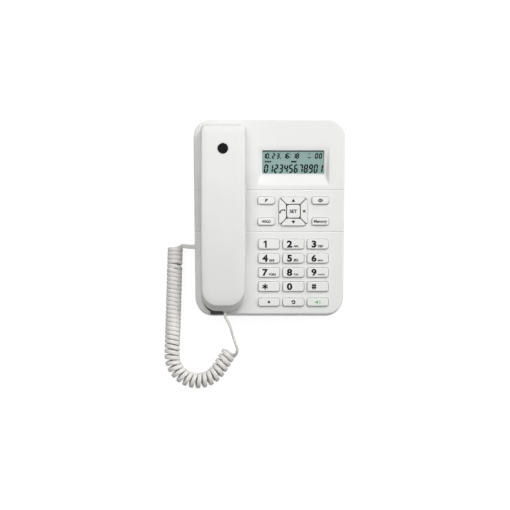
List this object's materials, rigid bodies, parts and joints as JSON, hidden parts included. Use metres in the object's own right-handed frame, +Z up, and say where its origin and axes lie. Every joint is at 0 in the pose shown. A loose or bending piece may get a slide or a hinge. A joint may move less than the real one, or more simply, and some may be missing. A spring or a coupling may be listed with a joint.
{
  "type": "corded telephone",
  "caption": "Low sloping desk telephone: handset in a cradle on the left, recessed display, direction pad and dial keys on the right, coiled cord from base to handset.",
  "frame": {"origin": "on the table under the middle of the base", "axes": "+X to the right as seen by the caller, +Y to the rear, +Z up"},
  "size_m": [0.1813, 0.2662, 0.0668],
  "materials": {
    "shell": "satin white moulded plastic",
    "underside": "matt white moulded plastic",
    "key": "satin white moulded plastic",
    "badge": "plain black",
    "clear_plastic": "clear",
    "display_glass": "grey-green liquid crystal",
    "dark_plastic": "dark moulded plastic",
    "board": "green circuit board",
    "silicone": "grey silicone",
    "steel": "zinc-plated",
    "capsule": "drawn can",
    "speaker": "black frame",
    "rubber": "matt rubber",
    "socket": "grey moulded plastic",
    "cord": "warm white flexible jacket"
  },
  "bodies": {
    "base": {"base_top_cover": "shell", "base_bottom_cover": "underside", "display_window": "clear_plastic", "display_glass": "display_glass", "display_holder": "dark_plastic", "main_board": "board", "keypad_mat": "silicone", "hook_spring": "steel", "hook_switch": "dark_plastic", "loudspeaker": "speaker", "base_microphone": "capsule", "line_jack": "socket", "base_handset_jack": "socket", "handset_cord": "cord", "base_plug": "clear_plastic", "foot_front_left": "rubber", "base_screw_front_left": "steel", "foot_rear_left": "rubber", "base_screw_rear_left": "steel", "foot_front_right": "rubber", "base_screw_front_right": "steel", "foot_rear_right": "rubber", "base_screw_rear_right": "steel"},
    "handset": {"handset_back": "shell", "handset_front": "shell", "handset_badge": "badge", "earpiece_receiver": "speaker", "handset_microphone": "capsule", "handset_weight": "steel", "handset_jack": "socket", "handset_screw_front": "steel", "handset_screw_rear": "steel", "handset_plug": "clear_plastic"},
    "hook": {"hook_plunger": "shell"},
    "key_1": {"key_1": "key"},
    "key_2": {"key_2": "key"},
    "key_3": {"key_3": "key"},
    "key_4": {"key_4": "key"},
    "key_5": {"key_5": "key"},
    "key_6": {"key_6": "key"},
    "key_7": {"key_7": "key"},
    "key_8": {"key_8": "key"},
    "key_9": {"key_9": "key"},
    "key_star": {"key_star": "key"},
    "key_0": {"key_0": "key"},
    "key_hash": {"key_hash": "key"},
    "key_mute": {"key_mute": "key"},
    "key_redial": {"key_redial": "key"},
    "key_speaker": {"key_speaker": "key"},
    "key_pause": {"key_pause": "key"},
    "key_volume": {"key_volume": "key"},
    "key_hold": {"key_hold": "key"},
    "key_memory": {"key_memory": "key"},
    "key_up": {"key_up": "key"},
    "key_down": {"key_down": "key"},
    "key_call": {"key_call": "key"},
    "key_delete": {"key_delete": "key"},
    "key_set": {"key_set": "key"}
  },
  "joints": [
    {"name": "handset_lift", "type": "slide", "parent": "base", "child": "handset", "axis": [0, -0.1392, 0.9903], "range_m": [0, 0.06]},
    {"name": "hook_rise", "type": "slide", "parent": "base", "child": "hook", "axis": [0, -0.1392, 0.9903], "range_m": [0, 0.003], "deforming": ["hook_spring"]},
    {"name": "key_1_press", "type": "slide", "parent": "base", "child": "key_1", "axis": [0, -0.1392, 0.9903], "range_m": [-0.0015, 0], "stiffness_N_per_m": 200, "springref_m": 0.001, "deforming": ["keypad_mat"]},
    {"name": "key_2_press", "type": "slide", "parent": "base", "child": "key_2", "axis": [0, -0.1392, 0.9903], "range_m": [-0.0015, 0], "stiffness_N_per_m": 200, "springref_m": 0.001, "deforming": ["keypad_mat"]},
    {"name": "key_3_press", "type": "slide", "parent": "base", "child": "key_3", "axis": [0, -0.1392, 0.9903], "range_m": [-0.0015, 0], "stiffness_N_per_m": 200, "springref_m": 0.001, "deforming": ["keypad_mat"]},
    {"name": "key_4_press", "type": "slide", "parent": "base", "child": "key_4", "axis": [0, -0.1392, 0.9903], "range_m": [-0.0015, 0], "stiffness_N_per_m": 200, "springref_m": 0.001, "deforming": ["keypad_mat"]},
    {"name": "key_5_press", "type": "slide", "parent": "base", "child": "key_5", "axis": [0, -0.1392, 0.9903], "range_m": [-0.0015, 0], "stiffness_N_per_m": 200, "springref_m": 0.001, "deforming": ["keypad_mat"]},
    {"name": "key_6_press", "type": "slide", "parent": "base", "child": "key_6", "axis": [0, -0.1392, 0.9903], "range_m": [-0.0015, 0], "stiffness_N_per_m": 200, "springref_m": 0.001, "deforming": ["keypad_mat"]},
    {"name": "key_7_press", "type": "slide", "parent": "base", "child": "key_7", "axis": [0, -0.1392, 0.9903], "range_m": [-0.0015, 0], "stiffness_N_per_m": 200, "springref_m": 0.001, "deforming": ["keypad_mat"]},
    {"name": "key_8_press", "type": "slide", "parent": "base", "child": "key_8", "axis": [0, -0.1392, 0.9903], "range_m": [-0.0015, 0], "stiffness_N_per_m": 200, "springref_m": 0.001, "deforming": ["keypad_mat"]},
    {"name": "key_9_press", "type": "slide", "parent": "base", "child": "key_9", "axis": [0, -0.1392, 0.9903], "range_m": [-0.0015, 0], "stiffness_N_per_m": 200, "springref_m": 0.001, "deforming": ["keypad_mat"]},
    {"name": "key_star_press", "type": "slide", "parent": "base", "child": "key_star", "axis": [0, -0.1392, 0.9903], "range_m": [-0.0015, 0], "stiffness_N_per_m": 200, "springref_m": 0.001, "deforming": ["keypad_mat"]},
    {"name": "key_0_press", "type": "slide", "parent": "base", "child": "key_0", "axis": [0, -0.1392, 0.9903], "range_m": [-0.0015, 0], "stiffness_N_per_m": 200, "springref_m": 0.001, "deforming": ["keypad_mat"]},
    {"name": "key_hash_press", "type": "slide", "parent": "base", "child": "key_hash", "axis": [0, -0.1392, 0.9903], "range_m": [-0.0015, 0], "stiffness_N_per_m": 200, "springref_m": 0.001, "deforming": ["keypad_mat"]},
    {"name": "key_mute_press", "type": "slide", "parent": "base", "child": "key_mute", "axis": [0, -0.1392, 0.9903], "range_m": [-0.0015, 0], "stiffness_N_per_m": 200, "springref_m": 0.001, "deforming": ["keypad_mat"]},
    {"name": "key_redial_press", "type": "slide", "parent": "base", "child": "key_redial", "axis": [0, -0.1392, 0.9903], "range_m": [-0.0015, 0], "stiffness_N_per_m": 200, "springref_m": 0.001, "deforming": ["keypad_mat"]},
    {"name": "key_speaker_press", "type": "slide", "parent": "base", "child": "key_speaker", "axis": [0, -0.1392, 0.9903], "range_m": [-0.0015, 0], "stiffness_N_per_m": 200, "springref_m": 0.001, "deforming": ["keypad_mat"]},
    {"name": "key_pause_press", "type": "slide", "parent": "base", "child": "key_pause", "axis": [0, -0.1392, 0.9903], "range_m": [-0.0015, 0], "stiffness_N_per_m": 200, "springref_m": 0.001, "deforming": ["keypad_mat"]},
    {"name": "key_volume_press", "type": "slide", "parent": "base", "child": "key_volume", "axis": [0, -0.1392, 0.9903], "range_m": [-0.0015, 0], "stiffness_N_per_m": 200, "springref_m": 0.001, "deforming": ["keypad_mat"]},
    {"name": "key_hold_press", "type": "slide", "parent": "base", "child": "key_hold", "axis": [0, -0.1392, 0.9903], "range_m": [-0.0015, 0], "stiffness_N_per_m": 200, "springref_m": 0.001, "deforming": ["keypad_mat"]},
    {"name": "key_memory_press", "type": "slide", "parent": "base", "child": "key_memory", "axis": [0, -0.1392, 0.9903], "range_m": [-0.0015, 0], "stiffness_N_per_m": 200, "springref_m": 0.001, "deforming": ["keypad_mat"]},
    {"name": "key_up_press", "type": "slide", "parent": "base", "child": "key_up", "axis": [0, -0.1392, 0.9903], "range_m": [-0.0015, 0], "stiffness_N_per_m": 200, "springref_m": 0.001, "deforming": ["keypad_mat"]},
    {"name": "key_down_press", "type": "slide", "parent": "base", "child": "key_down", "axis": [0, -0.1392, 0.9903], "range_m": [-0.0015, 0], "stiffness_N_per_m": 200, "springref_m": 0.001, "deforming": ["keypad_mat"]},
    {"name": "key_call_press", "type": "slide", "parent": "base", "child": "key_call", "axis": [0, -0.1392, 0.9903], "range_m": [-0.0015, 0], "stiffness_N_per_m": 200, "springref_m": 0.001, "deforming": ["keypad_mat"]},
    {"name": "key_delete_press", "type": "slide", "parent": "base", "child": "key_delete", "axis": [0, -0.1392, 0.9903], "range_m": [-0.0015, 0], "stiffness_N_per_m": 200, "springref_m": 0.001, "deforming": ["keypad_mat"]},
    {"name": "key_set_press", "type": "slide", "parent": "base", "child": "key_set", "axis": [0, -0.1392, 0.9903], "range_m": [-0.0015, 0], "stiffness_N_per_m": 200, "springref_m": 0.001, "deforming": ["keypad_mat"]}
  ],
  "couplings": [
    {"joint": "hook_rise", "follows": "handset_lift", "ratio": 0.05}
  ]
}
